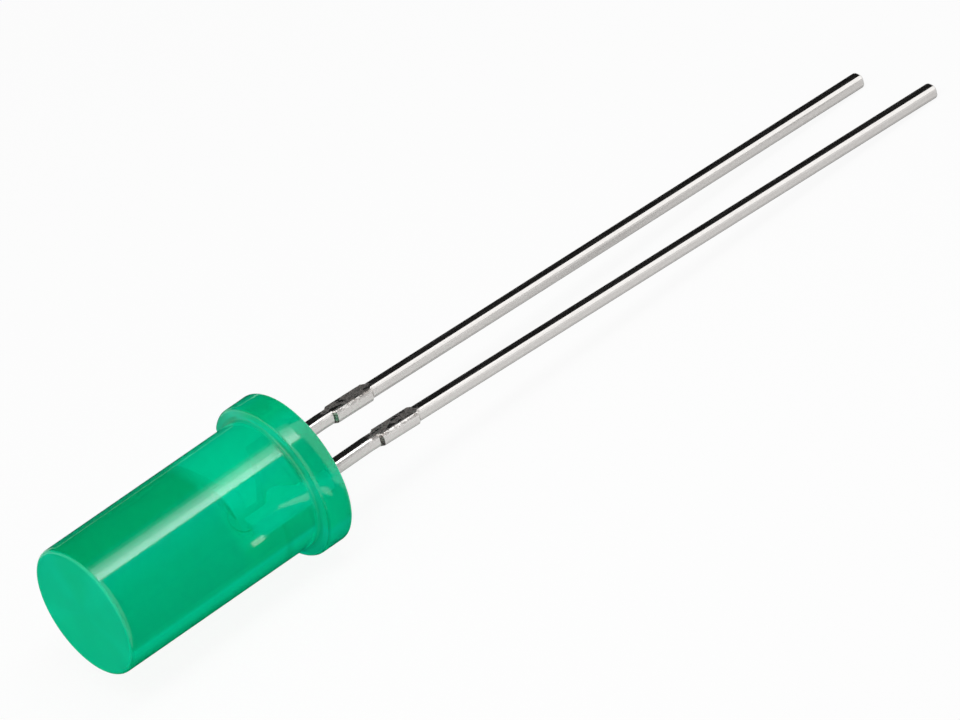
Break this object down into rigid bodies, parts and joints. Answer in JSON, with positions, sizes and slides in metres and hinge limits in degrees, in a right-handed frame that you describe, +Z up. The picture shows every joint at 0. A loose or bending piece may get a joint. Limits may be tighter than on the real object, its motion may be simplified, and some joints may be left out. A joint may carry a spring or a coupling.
{
  "type": "through hole led",
  "caption": "Round flat-topped indicator LED in a green tinted epoxy body with a flange, and straight square leads for soldering through a board.",
  "frame": {"origin": "middle of the lying part's length and width, on the floor that it rests on", "axes": "+X from the moulded body to the lead tips, along the floor; +Z up; the cathode lead is on the +Y side and the anode lead on the -Y side"},
  "size_m": [0.0377, 0.0055, 0.006],
  "materials": {
    "epoxy": "smooth, milky tinted epoxy that lets light through",
    "tinned_lead": "dull bright tin, satin",
    "die": "polished crystal",
    "silver_adhesive": "matt, silver filled",
    "gold_wire": "bright"
  },
  "bodies": {
    "root": {"epoxy_body": "epoxy", "cathode_lead": "tinned_lead", "anode_lead": "tinned_lead", "led_die": "die", "die_attach": "silver_adhesive", "bond_wire": "gold_wire"}
  },
  "joints": []
}
